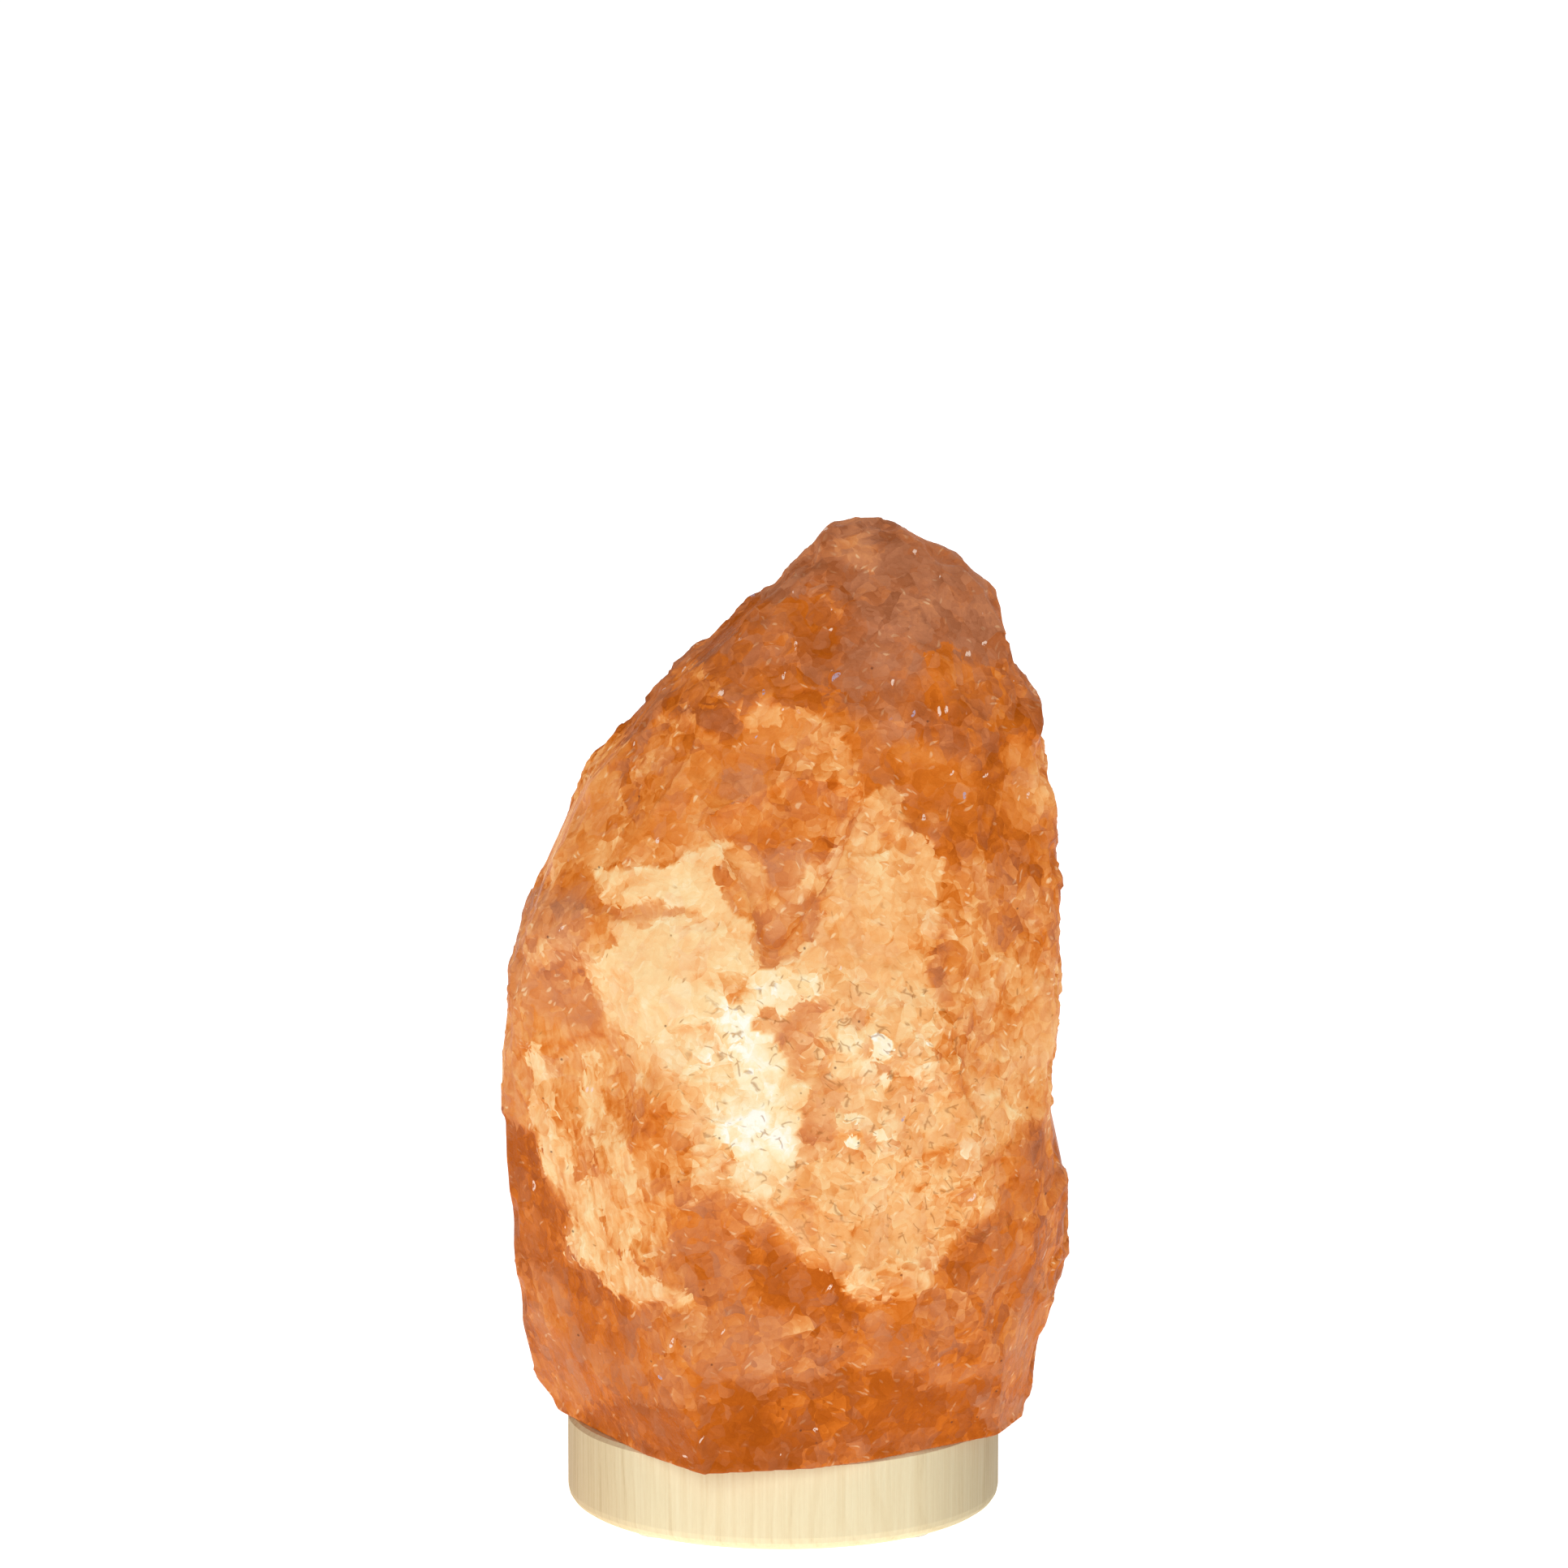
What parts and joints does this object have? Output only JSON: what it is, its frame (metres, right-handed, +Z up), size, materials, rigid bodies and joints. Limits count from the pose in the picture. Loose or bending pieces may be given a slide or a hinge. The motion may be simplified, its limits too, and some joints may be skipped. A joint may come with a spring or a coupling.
{
  "type": "salt crystal lamp",
  "caption": "Hewn salt crystal on a round wooden base, hollowed from below for a small screw-in bulb on a spring-clip fitting that pulls out of the underside.",
  "frame": {"origin": "on the table under the axis of the round base, which is the centre of the lamp's footprint box", "axes": "+Z up, -Y is the lamp's front, which faces the viewer, +X to the viewer's right"},
  "size_m": [0.157, 0.1551, 0.277],
  "materials": {
    "salt": "satin",
    "base_wood": "satin",
    "felt": "matte",
    "zinc_steel": "satin",
    "nickel": "polished",
    "contact_brass": "satin",
    "holder_plastic": "satin",
    "plug_plastic": "matte",
    "insulator_black": "gloss",
    "block_ceramic": "matte",
    "bulb_clear": "gloss",
    "stem_clear": "gloss",
    "tungsten": "satin"
  },
  "bodies": {
    "base": {"salt_crystal": "salt", "wooden_base": "base_wood", "foot_pads": "felt", "base_screws": "zinc_steel", "screw_plugs": "plug_plastic"},
    "fitting": {"fitting_flange": "zinc_steel", "threaded_tube": "zinc_steel", "tube_nut": "zinc_steel", "spring_strap": "zinc_steel", "holder_cap": "holder_plastic", "holder_skirt": "holder_plastic", "contact_block": "block_ceramic", "screw_shell": "contact_brass", "side_contact": "contact_brass", "terminal_clamps": "contact_brass", "terminal_screws": "zinc_steel"},
    "leaf_left": {"spring_leaf_left": "zinc_steel"},
    "leaf_right": {"spring_leaf_right": "zinc_steel"},
    "tongue": {"centre_contact": "contact_brass"},
    "bulb": {"bulb_glass": "bulb_clear", "bulb_cap": "nickel", "bulb_insulator": "insulator_black", "bulb_tip": "zinc_steel", "bulb_stem": "stem_clear", "lead_wires": "tungsten", "filament": "tungsten", "filament_support": "tungsten"}
  },
  "joints": [
    {"name": "fitting_slide", "type": "slide", "parent": "base", "child": "fitting", "axis": [0, 0, -1], "range_m": [0, 0.128]},
    {"name": "leaf_left_flex", "type": "hinge", "parent": "fitting", "child": "leaf_left", "pos_m": [-0.0152, 0, 0.01325], "axis": [0, 1, 0], "range_deg": [0, 8], "stiffness_Nm_per_rad": 0.1},
    {"name": "leaf_right_flex", "type": "hinge", "parent": "fitting", "child": "leaf_right", "pos_m": [0.0152, 0, 0.01325], "axis": [0, -1, 0], "range_deg": [0, 8], "stiffness_Nm_per_rad": 0.1},
    {"name": "contact_rise", "type": "slide", "parent": "fitting", "child": "tongue", "axis": [0, 0, 1], "range_m": [0, 0.00141]},
    {"name": "bulb_unscrew", "type": "hinge", "parent": "tongue", "child": "bulb", "pos_m": [0, 0, 0.0444], "axis": [0, 0, 1], "range_deg": [0, 180]}
  ],
  "couplings": [
    {"joint": "bulb_unscrew", "follows": "contact_rise", "rad_per_m": 2226.5}
  ]
}
